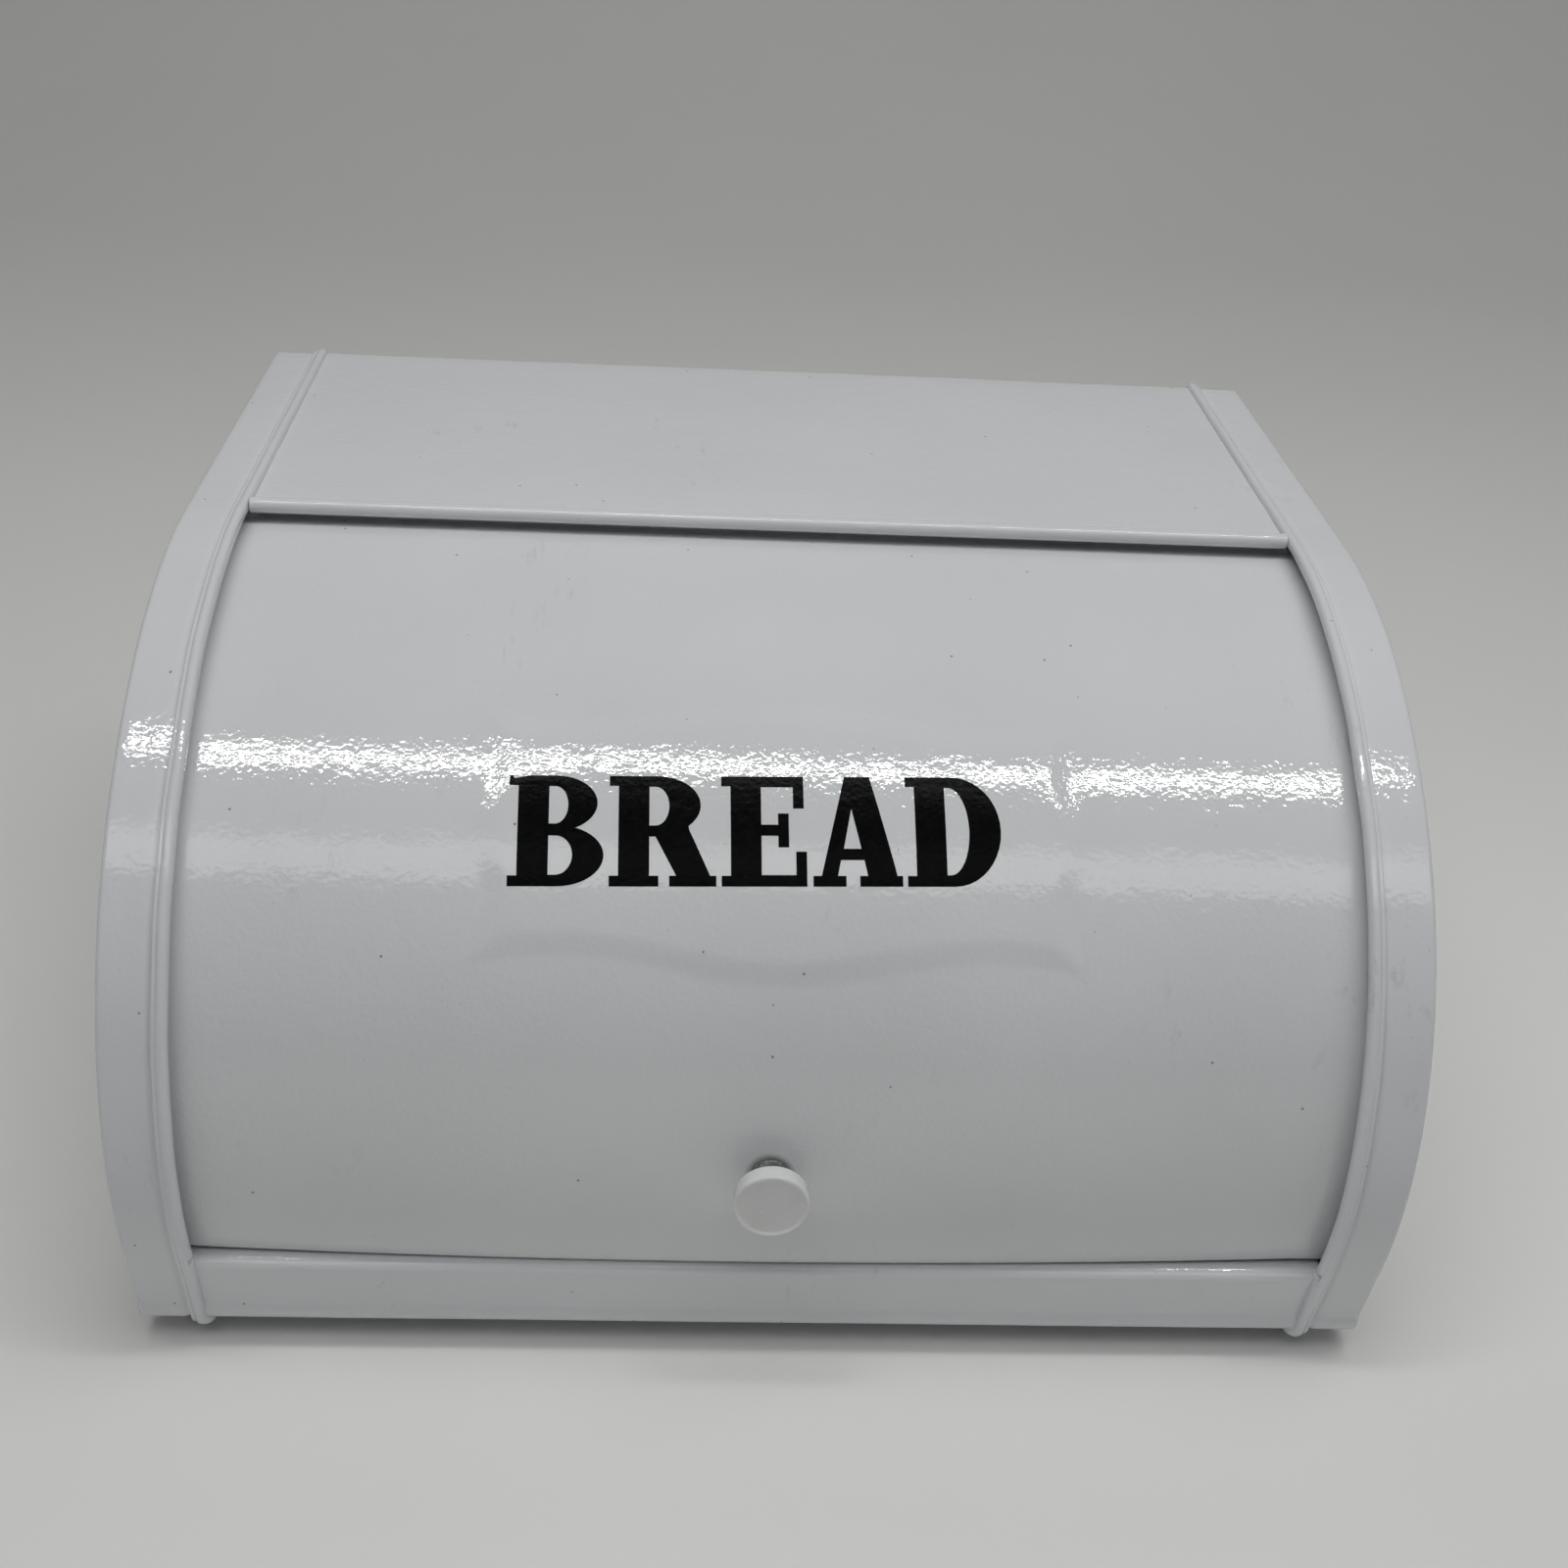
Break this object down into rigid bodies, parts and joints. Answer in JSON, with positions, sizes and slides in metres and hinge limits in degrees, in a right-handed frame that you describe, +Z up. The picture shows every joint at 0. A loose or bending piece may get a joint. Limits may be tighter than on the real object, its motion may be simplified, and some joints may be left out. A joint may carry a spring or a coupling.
{
  "type": "roll-top bread box",
  "caption": "Painted sheet-steel bread box with flat top, curved roll-back lid on side pivots, round front knob and rubber feet.",
  "frame": {"origin": "centre of the whole object's box in plan, on the plane of the feet's soles", "axes": "+X across the width, the front with the lid and knob faces -Y, +Z up"},
  "size_m": [0.3468, 0.3024, 0.1953],
  "materials": {
    "case_paint": "gloss white powder coat with fine orange peel",
    "lid_paint": "gloss white powder coat with fine orange peel",
    "bare_steel": "zinc-plated steel",
    "nylon": "moulded natural nylon",
    "foot_rubber": "moulded dark rubber",
    "knob_plastic": "moulded white plastic, slightly translucent"
  },
  "bodies": {
    "case": {"left_side_panel": "case_paint", "right_side_panel": "case_paint", "left_edge_bead": "case_paint", "right_edge_bead": "case_paint", "top_panel": "case_paint", "back_panel": "case_paint", "bottom_panel": "case_paint", "front_sill": "case_paint", "left_pivot_rivet": "bare_steel", "right_pivot_rivet": "bare_steel", "left_pivot_spacer": "nylon", "right_pivot_spacer": "nylon", "front_left_foot": "foot_rubber", "front_right_foot": "foot_rubber", "back_left_foot": "foot_rubber", "back_right_foot": "foot_rubber"},
    "lid": {"lid_sheet": "lid_paint", "left_lid_arm": "lid_paint", "right_lid_arm": "lid_paint", "knob": "knob_plastic", "knob_screw": "bare_steel", "knob_washer": "bare_steel"}
  },
  "joints": [
    {"name": "lid_roll", "type": "hinge", "parent": "case", "child": "lid", "pos_m": [0, -0.02752, 0.06541], "axis": [-1, 0, 0], "range_deg": [0, 96]}
  ]
}
